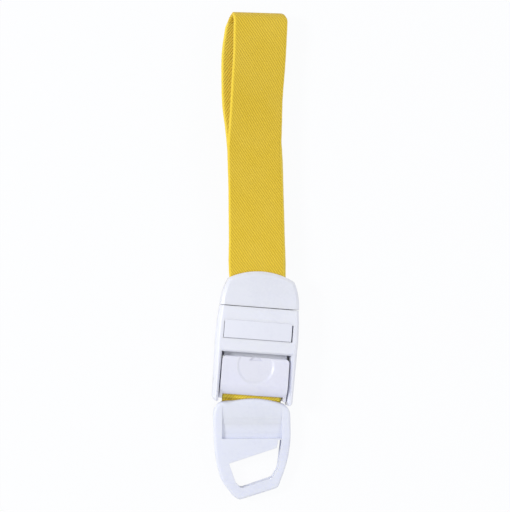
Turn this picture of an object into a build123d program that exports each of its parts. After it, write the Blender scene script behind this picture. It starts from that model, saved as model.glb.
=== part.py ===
"""Quick-release tourniquet: buckle, plug-in head, clamping lever, elastic strap and pull tab.

The buckle lies on its back on a table.  X runs across it, Y from the pull tab towards the
strap's loop and Z up, away from the limb.  The origin is on the table, under the middle of the
buckle.  Millimetres, degrees.
"""

from build123d import *
import math
import os

os.makedirs("parts", exist_ok=True)

# ---------------------------------------------------------------- webbing
strap_width = 24.8  # elastic webbing, as it leaves the head
strap_spread = 1.4  # how much wider the same webbing is when pressed flat under the lever
strap_thickness = 1.6
soft_gap = 0.3  # air between the webbing and anything hard
clamped_width = strap_width + strap_spread

# ---------------------------------------------------------------- buckle, along Y from the rail ends
foot_opening = 3.8  # rail ends to the lever's foot
lever_length = 16.4
head_gap = 1.8  # lever's thumb edge to the bridge
bridge_length = 6.1
flap_length = 7.1
collar_length = 6.8  # plain band between the flap and the head's seam
head_length = 16.0
buckle_length = math.fsum((
    foot_opening, lever_length, head_gap, bridge_length, flap_length, collar_length, head_length,
))
rail_end = -buckle_length / 2
lever_foot = rail_end + foot_opening
lever_head = lever_foot + lever_length
window_top = lever_head + head_gap
slit_line = window_top + bridge_length
flap_root = slit_line + flap_length
seam = flap_root + collar_length
crest = seam + head_length

# ---------------------------------------------------------------- buckle, across and up
rail_width = 2.75
lever_side_gap = 0.5  # lever to each rail
cheek_wall = 1.2
cheek_gap = 0.45  # lever's cheeks to the webbing between them
collar_taper = 1.6  # how much narrower the buckle is at the seam
body_height = 11.5
top_wall = 2.0
bridge_wall = 1.6
edge_round = 1.7  # long upper edges
window_round = 0.8  # upper edges round the lever window
rail_nose = 1.8  # rail ends, seen from above
rail_inner_nose = 0.8
under_round = 0.8
fit_gap = 0.1  # parts that seat in each other
lever_half = clamped_width / 2 + cheek_gap + cheek_wall
window_half = lever_half + lever_side_gap
window_width = 2 * window_half
buckle_width = window_width + 2 * rail_width
seam_width = buckle_width - collar_taper

lip_depth = 1.3  # lip on the bridge's wall, above the lever's thumb edge
lip_thickness = 0.5
lip_inset = 2.0

# ---------------------------------------------------------------- base plate
base_thickness = 1.6
base_ledge = 1.3  # how far the base reaches under each rail
bar_setback = 1.6  # rail ends to the clamping bar
bar_length = 11.9
strap_slot = 6.4
slot_margin = 0.9  # strap slot beyond the webbing on each side
bar_round = 0.7
ridge_height = 0.2
ridge_pitch = 1.3
ridge_count = 5
first_ridge = 1.25  # lever's foot to the first ridge
slot_width = clamped_width + 2 * slot_margin
body_floor = strap_thickness + soft_gap
base_top = body_floor + base_thickness
body_top = body_floor + body_height
ceiling = body_top - top_wall
bar_start = rail_end + bar_setback
bar_end = bar_start + bar_length
slot_end = bar_end + strap_slot
base_half = window_half + base_ledge

# ---------------------------------------------------------------- release flap
side_slit = 0.55
front_slit = 0.4
flap_thickness = 1.2
hinge_line_gap = 0.2
pusher_depth = 0.9
pusher_length = 1.5
pusher_width = 24.0
flap_edge = slit_line + front_slit / 2
flap_half = window_half - side_slit

# ---------------------------------------------------------------- clamping lever
lever_drop = 0.8  # lever's top below the rails' top
lever_plate = 1.8
nose_run = 4.4  # lever's foot to where its top is level
nose_bulge_run = 1.2
nose_bulge_drop = 1.5
brow_run = 1.2
foot_lip = 0.5
tooth_stop = 1.1  # last tooth to the pin
heel_run = 1.6  # pin's boss to the underside of the thumb plate
cheek_setback = 1.7  # rail ends to the cheeks' lower ends
pin_radius = 1.0
pin_station = 9.5  # rail ends to the pin
pin_rise = 6.4  # buckle's underside to the pin
pin_hole_gap = 0.02
lever_bore_gap = 0.05
pin_inset = 0.3  # pin ends below the rails' outer sides
boss_radius = 2.4
cheek_toe = 1.3  # slant of the cheeks' lower ends
cheek_toe_height = 1.0
cheek_tail = 4.5  # pin to the cheeks' upper ends
cheek_tail_drop = 2.3
cheek_sink = 0.4  # cheeks' upper edge below the lever's top
tooth_depth = 0.5
tooth_count = 4
foot_face = 1.9  # height of the lever's front face at its foot
dish_radius = 8.2
dish_depth = 0.55
dish_slope = 60  # of its wall, away from upright
dish_inset = 3.7  # lever's thumb edge to the middle of the dish
notch_width = 5.8
notch_neck = 3.2
notch_length = 1.5
notch_depth = 1.3
lever_corner = 1.9
spring_pocket = 8.4
pin_y = rail_end + pin_station
pin_z = body_floor + pin_rise
lever_top = body_top - lever_drop
plate_under = lever_top - lever_plate
strap_top = base_top + soft_gap + strap_thickness
tooth_tip = strap_top + soft_gap
feed_slope = 36.0
feed_bend = 2.6
feed_gap = 1.6  # webbing's own joint, ahead of the bar's far edge
feed_end = bar_end - feed_gap

# ---------------------------------------------------------------- lever spring
spring_wire = 0.6
wire_sides = 8  # the coil's wire section, in flats
spring_turns = 4.5
spring_pitch = 0.85
spring_gap = 0.35  # coil's inside to the pin
spring_free_leg = 9.0
ledge_depth = 1.4
ledge_gap = 0.1
ledge_thickness = 0.8
ledge_width = 10.0
coil_radius = pin_radius + spring_gap + spring_wire / 2
ledge_top = pin_z - coil_radius - spring_wire / 2 - ledge_gap

# ---------------------------------------------------------------- plug-in head
seam_gap = 0.3
head_wall = 1.5
tray_height = 4.7
cap_fall = 0.8  # how much lower the cap is at its crest than at the seam
cap_roof = 1.5
cap_bevel_side = 1.3
cap_bevel_down = 0.7
cap_edge = 0.5
shoulder_margin = 2.0  # webbing's edge to the head's shoulder
shoulder_length = 3.6  # crest back to the shoulders
shoulder_round = 2.0
tongue_gap = 0.2  # tongue in its channel
tongue_plate = 1.6
runner_width = 1.6
runner_height = 3.5
arm_width = 23.0
arm_thickness = 1.2
arm_drop = 2.8  # channel ceiling to the arm's lower face
catch_length = 1.6
catch_drop = 0.2  # channel ceiling to the catch's upper face
catch_reach = 2.4  # height of the catch
keeper_length = 1.8
keeper_reach = 3.0
keeper_drop = 0.4
keeper_height = 0.6
keeper_gap = 0.4
anchor_width = 5.0
anchor_thickness = 1.4
anchor_margin = 3.2  # anchor bar beyond the webbing on each side
anchor_inset = 7.5  # seam to the middle of the anchor bar
ply_gap = 0.1
mouth_side = 0.6  # mouth beyond the webbing on each side
under_ply = 4.0  # length of the turned-under ply
shoulder_width = strap_width + 2 * shoulder_margin
anchor_length = strap_width + 2 * anchor_margin
head_start = seam + seam_gap
head_split = body_floor + tray_height
anchor_y = seam + anchor_inset
ply_rise = anchor_thickness / 2 + ply_gap + strap_thickness / 2
anchor_z = head_split + strap_thickness  # bar lies clear above the joint of tray and cap
exit_z = anchor_z + ply_rise
tongue_tip = window_top + bridge_wall + 2 * tongue_gap
tongue_half = window_half - tongue_gap
cap_inside = body_top - cap_fall - cap_roof
arm_top = ceiling - arm_drop + arm_thickness

# ---------------------------------------------------------------- pull tab, from its crest
tab_turn = 4.3  # seen from above
tab_lead = 1.4  # crest of the tab beyond the rail ends, between the rails
swing_lead = 1.4  # swing line beyond the rail ends
tab_side_wall = 4.0  # webbing's edge to the tab's side
tab_length = 45.4
tab_front = 2.8  # face above the webbing's middle
tab_back = 2.4
tab_crest_radius = 57.0
tab_shoulder = 5.5
tab_edge = 1.1
tab_foot_lift = 0.1  # foot above the table
tab_straight = 14.0
foot_side_rise = 7.4  # foot up to the end of the curved sides
tab_foot_half = 12.2
foot_slant_rise = 5.6  # foot up to the right end of its slanted edge
tab_foot_right = 11.4
tab_foot_left = 9.3
foot_left_round = 4.5
foot_right_round = 3.0
rim_left = 3.9
rim_right = 3.7
ramp_start = 3.0
ramp_end = 17.7
ramp_depth = 1.8
rib_height = 0.06
rib_width = 0.35
rib_places = (8.3, 10.7, 15.0, 17.0)
strap_in_tab = 11.0
mouth_depth = 4.2  # crest to where the tab is whole below the webbing
clamp_inset = 0.5  # clamp plate behind the mouth
clamp_round = 1.0
gap_top = 18.3  # crest to the top of the narrow gap beside the crossbar
gap_half = 13.1
gap_width = 1.4
bar_left_low = 28.6  # crest to the crossbar's edge at its left and right ends
bar_right_low = 21.9
bar_right_half = 11.1
hole_left_half = 10.0
hole_left_rise = 8.5  # foot up to the opening's corners
hole_left_low_half = 7.095
hole_right_half = 11.7
hole_right_rise = 14.8
hole_foot_right_rise = 10.5
hole_foot_right_half = 9.3
hole_foot_left_rise = 5.8
hole_foot_left_half = 5.2
hole_round = 2.4
hole_small_round = 0.4
tab_width = clamped_width + 2 * tab_side_wall
tab_half = tab_width / 2
tab_foot_line = tab_length - foot_side_rise
tab_foot_high = tab_length - foot_slant_rise
hole_left_low = tab_length - hole_left_rise
hole_right_low = tab_length - hole_right_rise
hole_foot_right = tab_length - hole_foot_right_rise
hole_foot_left = tab_length - hole_foot_left_rise
swing_y = rail_end + swing_lead
free_z = base_top + soft_gap + strap_thickness / 2
pocket_roof = strap_thickness / 2 + soft_gap
tab_tilt = math.degrees(math.asin((free_z - tab_back - tab_foot_lift) / tab_length))

# ---------------------------------------------------------------- the strap's loop, lying slack
loop_length = 110.4  # crest of the head to the far fold
hem_shift = -0.6  # webbing sits a little to the left on its bar
hem_setback = 2.0  # crest back to the hem's end
flat_setback = 13.0  # crest back to where the webbing leaves the table's level under the buckle
fold_yaw = 6.0  # the far fold is not quite square to the buckle
# stations of a strand: distance from the crest, x, rise of its middle, roll (left edge lifted), yaw
upper_strand = (
    (-hem_setback, hem_shift, 0.0, 0.0, 0.0),
    (0.010 * loop_length, hem_shift, 0.0, 0.0, 0.0),
    (0.127 * loop_length, -0.142 * strap_width, 0.06 * strap_thickness, 0.5, 0.0),
    (0.281 * loop_length, -0.205 * strap_width, 0.44 * strap_thickness, 5.0, 0.0),
    (0.449 * loop_length, -0.291 * strap_width, 1.00 * strap_thickness, 9.0, 0.0),
    (0.561 * loop_length, -0.319 * strap_width, 1.31 * strap_thickness, 12.5, 0.0),
    (0.688 * loop_length, -0.336 * strap_width, 1.56 * strap_thickness, 16.0, 1.0),
    (0.789 * loop_length, -0.341 * strap_width, 1.56 * strap_thickness, 14.5, 2.5),
    (0.879 * loop_length, -0.347 * strap_width, 1.38 * strap_thickness, 13.0, 4.5),
    (loop_length, -0.363 * strap_width, 0.94 * strap_thickness, 9.0, fold_yaw),
)
under_strand = (
    (-flat_setback, 0.0, 0.0, 0.0, 0.0),
    (0.040 * loop_length, -0.045 * strap_width, 0.0, 0.0, 0.0),
    (0.175 * loop_length, -0.105 * strap_width, 0.0, 0.0, 0.0),
    (0.285 * loop_length, -0.160 * strap_width, 0.0, 0.0, 2.0),
    (0.444 * loop_length, -0.232 * strap_width, 0.31 * strap_thickness, 1.0, 5.0),
    (0.583 * loop_length, -0.335 * strap_width, 0.88 * strap_thickness, 3.0, 8.0),
    (0.679 * loop_length, -0.428 * strap_width, 1.25 * strap_thickness, 6.0, 8.0),
    (0.770 * loop_length, -0.482 * strap_width, 1.63 * strap_thickness, 9.0, 5.0),
    (0.879 * loop_length, -0.512 * strap_width, 2.00 * strap_thickness, 10.0, 4.0),
    (loop_length, -0.488 * strap_width, 2.25 * strap_thickness, 11.0, fold_yaw),
)
fold_steps = 9
strand_gap = 0.2  # where the strap's pieces meet on different bodies


def save(builder, name):
    """Label a finished piece and write it as a STEP file of that name."""
    builder.part.label = name
    export_step(builder.part, f"parts/{name}.step")


def forward(yaw):
    """Unit vector along the webbing, level, turned to the left by yaw degrees."""
    return Vector(-math.sin(math.radians(yaw)), math.cos(math.radians(yaw)), 0)


def across(roll, yaw):
    """Unit vector across the webbing when its left edge is lifted by roll degrees."""
    level = math.cos(math.radians(roll))
    turned = math.radians(yaw)
    return Vector(level * math.cos(turned), level * math.sin(turned), -math.sin(math.radians(roll)))


def strand_planes(stations, level, shorten=0.0):
    """Planes across a strand at its stations, above its level."""
    middles = [Vector(x, crest + distance, level + rise) for distance, x, rise, roll, yaw in stations]
    middles[-1] -= forward(stations[-1][4]) * shorten
    planes = []
    for middle, (distance, x, rise, roll, yaw) in zip(middles, stations):
        planes.append(Plane(origin=middle, x_dir=across(roll, yaw), z_dir=forward(yaw)))
    return planes


def fold_planes(upper_plane, under_plane):
    """Planes round the far fold, from the upper strand's end down to the under one's."""
    middle = (upper_plane.origin + under_plane.origin) * 0.5
    arm = upper_plane.origin - middle
    ahead = forward(fold_yaw)
    planes = []
    for step in range(fold_steps + 1):
        share = step / fold_steps
        turn = math.pi * share
        roll = upper_strand[-1][3] * (1 - share) + under_strand[-1][3] * share
        point = middle + arm * math.cos(turn) + ahead * (arm.length * math.sin(turn))
        heading = ahead * math.cos(turn) - arm.normalized() * math.sin(turn)
        planes.append(Plane(origin=point, x_dir=across(roll, fold_yaw), z_dir=heading))
    return planes


def short_of_seam(edge):
    """Whether an edge lies on the buckle's side of the seam."""
    return edge.center().Y < seam - fit_gap


def beyond_seam(edge):
    """Whether an edge lies on the head's side of the seam."""
    return edge.center().Y > head_start + fit_gap


def at_rail_ends(edge):
    """Whether an edge stands on the ends of the rails."""
    return edge.center().Y < rail_end + fit_gap


def inside_window(edge):
    """Whether an edge runs along the lever window or round the inner corner of a rail's end."""
    middle = edge.center()
    beside = abs(middle.X) < window_half + rail_inner_nose
    return beside and middle.Y < window_top + fit_gap


def ribbon(planes, plain):
    """Webbing through planes square to its run: ruled between the first ones, then a smooth loft."""
    with BuildPart() as webbing:
        for stretch, flat in ((planes[:plain], True), (planes[plain - 1:], False)):
            if len(stretch) > 1:
                for plane in stretch:
                    with BuildSketch(plane):
                        Rectangle(strap_width, strap_thickness)
                loft(ruled=flat)
    return webbing


# ---------------------------------------------------------------- outline of the head, seen from above
with BuildSketch() as head_outline:
    with BuildLine():
        shoulder_end = (shoulder_width / 2, crest - shoulder_length)
        side = TangentArc((seam_width / 2, head_start), shoulder_end, tangent=(0, 1))
        ThreePointArc(side @ 1, (0, crest), (-shoulder_width / 2, crest - shoulder_length))
        mirror(side, about=Plane.YZ)
        Line((-seam_width / 2, head_start), (seam_width / 2, head_start))
    make_face()
    fillet(head_outline.vertices().group_by(Axis.Y)[-1], shoulder_round)

with BuildSketch() as head_inside:
    add(head_outline.sketch)
    offset(amount=-head_wall, kind=Kind.INTERSECTION)

# ---------------------------------------------------------------- buckle body
with BuildPart() as buckle_body:
    with BuildSketch(Plane.XY.offset(body_floor)):
        with BuildLine():
            side = Line((buckle_width / 2, rail_end), (buckle_width / 2, slit_line))
            taper = TangentArc(side @ 1, (seam_width / 2, seam), tangent=(0, 1))
            Line(taper @ 1, (0, seam))
            Line((0, rail_end), side @ 0)
            mirror(about=Plane.YZ)
        make_face()
    extrude(amount=body_height)
    fillet(buckle_body.edges().filter_by(Axis.Z).group_by(Axis.Y)[0], rail_nose)
    fillet(buckle_body.edges().group_by(Axis.Z)[-1].filter_by(short_of_seam), edge_round)
    fillet(buckle_body.edges().group_by(Axis.Z)[0].filter_by(short_of_seam), under_round)
    # lever window, open between the rails
    with BuildSketch(Plane.XY.offset(body_floor)):
        with Locations((0, window_top - buckle_length / 2)):
            Rectangle(window_width, buckle_length)
    extrude(amount=body_height, mode=Mode.SUBTRACT)
    upright_edges = buckle_body.edges().filter_by(Axis.Z)
    fillet(upright_edges.filter_by(at_rail_ends), rail_inner_nose)
    window_edges = buckle_body.edges().group_by(Axis.Z)[-1].filter_by(inside_window)
    fillet(window_edges, window_round)
    # channel for the tongue, open at the seam
    with BuildSketch(Plane.XY.offset(base_top)):
        with Locations((0, window_top + bridge_wall + buckle_length / 2)):
            Rectangle(window_width, buckle_length)
    extrude(amount=ceiling - base_top, mode=Mode.SUBTRACT)
    # recess for the base plate
    with BuildSketch(Plane.XY.offset(body_floor)):
        with Locations((0, bar_start - fit_gap + buckle_length / 2)):
            Rectangle(2 * (base_half + fit_gap), buckle_length)
    extrude(amount=base_thickness, mode=Mode.SUBTRACT)
    # opening round the release flap
    with BuildSketch(Plane.XY.offset(ceiling)):
        with Locations((0, (flap_root + slit_line - front_slit / 2) / 2)):
            Rectangle(window_width, flap_root - slit_line + front_slit / 2)
    extrude(amount=top_wall, mode=Mode.SUBTRACT)
    # keepers that the latch arm's catch bears on
    with BuildSketch(Plane.XY.offset(ceiling - keeper_drop - keeper_height)):
        keeper_y = flap_edge + catch_length + keeper_gap + keeper_length / 2
        keeper_x = window_half - keeper_reach / 2
        with Locations((keeper_x, keeper_y), (-keeper_x, keeper_y)):
            Rectangle(keeper_reach, keeper_length)
    extrude(amount=keeper_height)
    # lip that closes the gap above the lever from below
    with BuildSketch(Plane.XY.offset(ceiling - lip_thickness)):
        with Locations((0, window_top - lip_depth / 2)):
            Rectangle(window_width - 2 * lip_inset, lip_depth)
    extrude(amount=lip_thickness)
    # ledge for the lever spring's fixed leg
    with BuildSketch(Plane.XY.offset(ledge_top - ledge_thickness)):
        with Locations((0, window_top - ledge_depth / 2)):
            Rectangle(ledge_width, ledge_depth)
    extrude(amount=ledge_thickness)
    # pin holes through both rails
    with BuildSketch(Plane.YZ):
        with Locations((pin_y, pin_z)):
            Circle(pin_radius + pin_hole_gap)
    extrude(amount=buckle_width, both=True, mode=Mode.SUBTRACT)

# ---------------------------------------------------------------- base plate
with BuildPart() as base_plate:
    with BuildSketch(Plane.XY.offset(body_floor)):
        with Locations((0, (bar_start + seam) / 2)):
            Rectangle(2 * base_half, seam - bar_start)
        with Locations((0, (bar_end + slot_end) / 2)):
            Rectangle(slot_width, strap_slot, mode=Mode.SUBTRACT)
    extrude(amount=base_thickness)
    cross_edges = base_plate.edges().filter_by(Axis.X)
    fillet(cross_edges.filter_by(lambda e: e.center().Y < slot_end + fit_gap), bar_round)
    # gripping ridges under the lever's teeth
    with BuildSketch(Plane.YZ):
        with Locations((lever_foot + first_ridge, base_top)):
            with GridLocations(ridge_pitch, 1, ridge_count, 1):
                Circle(ridge_height)
    extrude(amount=slot_width / 2, both=True)

# ---------------------------------------------------------------- release flap
with BuildPart() as release_flap:
    with BuildSketch(Plane.XY.offset(body_top - flap_thickness)):
        with Locations((0, (flap_edge + flap_root - hinge_line_gap) / 2)):
            Rectangle(2 * flap_half, flap_root - hinge_line_gap - flap_edge)
    extrude(amount=flap_thickness)
    with BuildSketch(Plane.XY.offset(body_top - flap_thickness)):
        with Locations((0, flap_edge + pusher_length / 2)):
            Rectangle(pusher_width, pusher_length)
    extrude(amount=-pusher_depth)

# ---------------------------------------------------------------- clamping lever
with BuildPart() as clamp_lever:
    with BuildSketch(Plane.YZ):
        with BuildLine():
            brow = (lever_head, lever_top - lever_plate / 2)
            tooth_end = (pin_y - tooth_stop, tooth_tip)
            nose = ThreePointArc(
                (lever_foot, tooth_tip + foot_face),
                (lever_foot + nose_bulge_run, lever_top - nose_bulge_drop),
                (lever_foot + nose_run, lever_top),
            )
            top = Line(nose @ 1, (lever_head - brow_run, lever_top))
            tip = TangentArc(top @ 1, brow, tangent=(1, 0))
            heel = (pin_y + boss_radius + heel_run, plate_under)
            Polyline(tip @ 1, (lever_head, plate_under), heel, (pin_y + boss_radius, pin_z))
            under = ThreePointArc(
                (pin_y + boss_radius, pin_z),
                (pin_y + boss_radius * math.sqrt(0.5), pin_z - boss_radius * math.sqrt(0.5)),
                (pin_y, pin_z - boss_radius),
            )
            lip = (lever_foot + foot_lip, tooth_tip)
            Polyline(under @ 1, tooth_end, lip, (lever_foot, tooth_tip + foot_lip), nose @ 0)
        make_face()
    extrude(amount=lever_half, both=True)
    fillet(clamp_lever.edges().filter_by(Axis.Z).group_by(Axis.Y)[-1], lever_corner)
    # thumb dish and notch in the thumb edge
    with BuildSketch(Plane.XY.offset(lever_top)):
        with Locations((0, lever_head - dish_inset)):
            Circle(dish_radius)
    extrude(amount=-dish_depth, taper=dish_slope, mode=Mode.SUBTRACT)
    with BuildSketch(Plane.XY.offset(lever_top)):
        with BuildLine():
            Polyline(
                (notch_neck / 2, lever_head),
                (notch_width / 2, lever_head - notch_length),
                (-notch_width / 2, lever_head - notch_length),
                (-notch_neck / 2, lever_head),
                close=True,
            )
        make_face()
    extrude(amount=-notch_depth, mode=Mode.SUBTRACT)
    # teeth that bite the webbing
    with BuildSketch(Plane.YZ):
        tooth_run = tooth_end[0] - lip[0]
        with Locations((lip[0] + tooth_run / 2, tooth_tip)):
            with GridLocations(tooth_run / tooth_count, 1, tooth_count, 1):
                Rectangle(tooth_depth, tooth_depth, rotation=45)
    extrude(amount=lever_half, both=True, mode=Mode.SUBTRACT)
    # pocket round the spring, and the pin's bore
    with BuildSketch(Plane.YZ):
        with Locations((pin_y, pin_z)):
            Circle(boss_radius + soft_gap)
        with Locations((pin_y + boss_radius, (pin_z - boss_radius + plate_under) / 2)):
            Rectangle(2 * (boss_radius + heel_run), plate_under - pin_z + boss_radius)
    extrude(amount=spring_pocket / 2, both=True, mode=Mode.SUBTRACT)
    # cheeks beside the webbing
    for face in (lever_half - cheek_wall, -lever_half):
        with BuildSketch(Plane.YZ.offset(face)):
            cheek_end = rail_end + cheek_setback
            cheek_low = base_top + soft_gap
            with BuildLine():
                Polyline(
                    (cheek_end, pin_z),
                    (cheek_end + cheek_toe, cheek_low),
                    (pin_y, cheek_low),
                    (pin_y + cheek_tail, pin_z - cheek_tail_drop),
                    (pin_y + cheek_tail, plate_under),
                    (lever_foot + nose_run, lever_top - cheek_sink),
                    (lever_foot + nose_bulge_run, lever_top - nose_bulge_drop - cheek_sink),
                    (cheek_end, pin_z + cheek_toe_height),
                    close=True,
                )
            make_face()
        extrude(amount=cheek_wall)
    with BuildSketch(Plane.YZ):
        with Locations((pin_y, pin_z)):
            Circle(pin_radius + lever_bore_gap)
    extrude(amount=buckle_width, both=True, mode=Mode.SUBTRACT)

with BuildPart() as lever_pin:
    with BuildSketch(Plane.YZ):
        with Locations((pin_y, pin_z)):
            Circle(pin_radius)
    extrude(amount=buckle_width / 2 - pin_inset, both=True)
    chamfer(lever_pin.edges().filter_by(GeomType.CIRCLE), pin_radius / 5)

# ---------------------------------------------------------------- lever spring, coiled round the pin
with BuildPart() as lever_spring:
    coil_height = spring_turns * spring_pitch
    with BuildLine() as coil:
        coil_start = (-coil_height / 2, pin_y, pin_z)
        Helix(spring_pitch, coil_height, coil_radius, center=coil_start, direction=(1, 0, 0))
    with BuildSketch(coil.line ^ 0):
        RegularPolygon(spring_wire / 2, wire_sides)
    sweep(path=coil.line, is_frenet=True)
    fixed_leg = window_top - ledge_depth / 2 - pin_y
    for start, leg in ((coil.line @ 0, spring_free_leg), (coil.line @ 1, fixed_leg)):
        with BuildSketch(Plane(origin=start, x_dir=(1, 0, 0), z_dir=(0, 1, 0))):
            Circle(spring_wire / 2)
        extrude(amount=leg)

# ---------------------------------------------------------------- plug-in head: tray and tongue
with BuildPart() as plug_tray:
    with BuildSketch(Plane.XY.offset(body_floor)):
        add(head_outline.sketch)
    extrude(amount=tray_height)
    fillet(plug_tray.edges().group_by(Axis.Z)[0].filter_by(beyond_seam), under_round)
    with BuildSketch(Plane.XY.offset(base_top)):
        add(head_inside.sketch)
    extrude(amount=tray_height, mode=Mode.SUBTRACT)
    # upright wall at the seam, which carries the latch arm
    with BuildSketch(Plane.XY.offset(head_split - fit_gap)):
        with Locations((0, head_start + head_wall / 2)):
            Rectangle(arm_width, head_wall)
    extrude(amount=arm_top - head_split + fit_gap)
    # tongue: a flat plate with a runner along each side
    with BuildSketch(Plane.XY.offset(base_top + tongue_gap)):
        with Locations((0, (tongue_tip + head_start) / 2)):
            Rectangle(2 * tongue_half, head_start - tongue_tip)
    extrude(amount=tongue_plate)
    tip_corners = plug_tray.edges().filter_by(Axis.Z).group_by(Axis.Y)[0]
    chamfer(tip_corners, runner_width)
    with BuildSketch(Plane.XY.offset(base_top + tongue_gap)):
        runner_x = tongue_half - runner_width / 2
        runner_y = (tongue_tip + runner_width + head_start) / 2
        with Locations((runner_x, runner_y), (-runner_x, runner_y)):
            Rectangle(runner_width, head_start - tongue_tip - runner_width)
    extrude(amount=runner_height)

# ---------------------------------------------------------------- latch arm, a spring finger
with BuildPart() as latch_arm:
    with BuildSketch(Plane.XY.offset(arm_top - arm_thickness)):
        with Locations((0, (flap_edge + head_start) / 2)):
            Rectangle(arm_width, head_start - flap_edge)
    extrude(amount=arm_thickness)
    with BuildSketch(Plane.XY.offset(ceiling - catch_drop - catch_reach)):
        with Locations((0, flap_edge + catch_length / 2)):
            Rectangle(2 * (window_half - tongue_gap), catch_length)
    extrude(amount=catch_reach)
    top_cross_edges = latch_arm.edges().filter_by(Axis.X).group_by(Axis.Z)[-1]
    chamfer(top_cross_edges.sort_by(Axis.Y)[0], catch_length / 3)

# ---------------------------------------------------------------- plug-in head: cap
with BuildPart() as plug_cap:
    with BuildSketch(Plane.XY.offset(head_split)):
        add(head_outline.sketch)
    extrude(amount=body_top - head_split)
    with BuildSketch(Plane.YZ):
        with BuildLine():
            Polyline(
                (seam, head_split),
                (seam, body_top),
                (head_start, body_top),
                (crest, body_top - cap_fall),
                (crest + head_wall, body_top - cap_fall),
                (crest + head_wall, head_split),
                close=True,
            )
        make_face()
    extrude(amount=buckle_width, both=True, mode=Mode.INTERSECT)
    top_edges = plug_cap.faces().sort_by(Axis.Z)[-1].edges()
    side_edges = top_edges.filter_by(lambda e: abs(e.center().X) > shoulder_width / 2)
    chamfer(side_edges, cap_bevel_down, cap_bevel_side)
    round_edges = plug_cap.edges().filter_by(GeomType.CIRCLE)
    fillet(round_edges.group_by(Axis.Z)[-1].sort_by(Axis.Y)[-1], cap_edge)
    # hollow, open below and towards the seam under the roof
    with BuildSketch(Plane.XY.offset(head_split)):
        add(head_inside.sketch)
        with Locations((0, head_start)):
            Rectangle(seam_width - 2 * head_wall, 2 * head_wall + 2 * fit_gap)
    extrude(amount=cap_inside - head_split, mode=Mode.SUBTRACT)
    # mouth where the webbing comes out under the crest
    with BuildSketch(Plane.XY.offset(head_split)):
        with Locations((0, crest)):
            Rectangle(strap_width + 2 * mouth_side, head_length)
    extrude(amount=exit_z + strap_thickness / 2 + soft_gap - head_split, mode=Mode.SUBTRACT)
    # seats for the ends of the anchor bar
    with BuildSketch(Plane.XZ.offset(-anchor_y - anchor_width / 2 - fit_gap)):
        with Locations((0, anchor_z)):
            Rectangle(anchor_length + 2 * fit_gap, anchor_thickness + 2 * fit_gap)
    extrude(amount=anchor_width + 2 * fit_gap, mode=Mode.SUBTRACT)

with BuildPart() as anchor_bar:
    with BuildSketch(Plane.YZ):
        with Locations((anchor_y, anchor_z)):
            SlotOverall(anchor_width, anchor_thickness)
    extrude(amount=anchor_length / 2, both=True)

# ---------------------------------------------------------------- webbing, turned round the anchor bar
with BuildPart() as strap_hem:
    bend_y = anchor_y - (anchor_width - anchor_thickness) / 2
    upper_end = crest - hem_setback
    lower_end = anchor_y + under_ply
    with BuildSketch(Plane.YZ.offset(hem_shift - strap_width / 2)):
        with Locations((bend_y, anchor_z)):
            Circle(ply_rise + strap_thickness / 2)
            Circle(ply_rise - strap_thickness / 2, mode=Mode.SUBTRACT)
        with Locations((bend_y + buckle_length / 2, anchor_z)):
            Rectangle(buckle_length, buckle_length, mode=Mode.SUBTRACT)
        with Locations(((bend_y + upper_end) / 2, anchor_z + ply_rise)):
            Rectangle(upper_end - bend_y, strap_thickness)
        with Locations(((bend_y + lower_end) / 2, anchor_z - ply_rise)):
            Rectangle(lower_end - bend_y, strap_thickness)
    extrude(amount=strap_width)

# ---------------------------------------------------------------- webbing, the slack loop
upper_planes = strand_planes(upper_strand, exit_z)
under_planes = strand_planes(under_strand, strap_thickness / 2)
strap_upper = ribbon(upper_planes, plain=2)
strap_fold = ribbon(fold_planes(upper_planes[-1], under_planes[-1]), plain=fold_steps + 1)
strap_under = ribbon(strand_planes(under_strand, strap_thickness / 2, shorten=strand_gap), plain=4)

# ---------------------------------------------------------------- webbing, under the buckle
with BuildPart() as strap_feed:
    rise_middle = (bar_end + slot_end) / 2
    rise_half = (free_z - strap_thickness / 2) / 2 / math.tan(math.radians(feed_slope))
    with BuildSketch(Plane.YZ.offset(-strap_width / 2)):
        with BuildLine():
            FilletPolyline(
                (crest - flat_setback, strap_thickness / 2),
                (rise_middle + rise_half, strap_thickness / 2),
                (rise_middle - rise_half, free_z),
                (feed_end, free_z),
                radius=feed_bend,
            )
        trace(line_width=strap_thickness)
    extrude(amount=strap_width)

with BuildPart() as strap_free:
    free_start = feed_end - strand_gap
    free_stop = swing_y + strap_thickness / 2 + strand_gap
    with BuildSketch(Plane.XY.offset(free_z - strap_thickness / 2)):
        with Locations((0, (free_start + free_stop) / 2)):
            Rectangle(clamped_width, free_start - free_stop)
    extrude(amount=strap_thickness)

# ---------------------------------------------------------------- pull tab
turn = math.radians(tab_turn)
tilt = math.radians(tab_tilt)
tab_plane = Plane(
    origin=(0, rail_end + tab_lead, free_z),
    x_dir=(math.cos(turn), math.sin(turn), 0),
    z_dir=(math.sin(turn) * math.sin(tilt), -math.cos(turn) * math.sin(tilt), math.cos(tilt)),
)
tab_side = Plane(origin=tab_plane.origin, x_dir=tab_plane.y_dir, z_dir=tab_plane.x_dir)
tab_axis = Axis(tab_plane.origin, tab_plane.z_dir)

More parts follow.
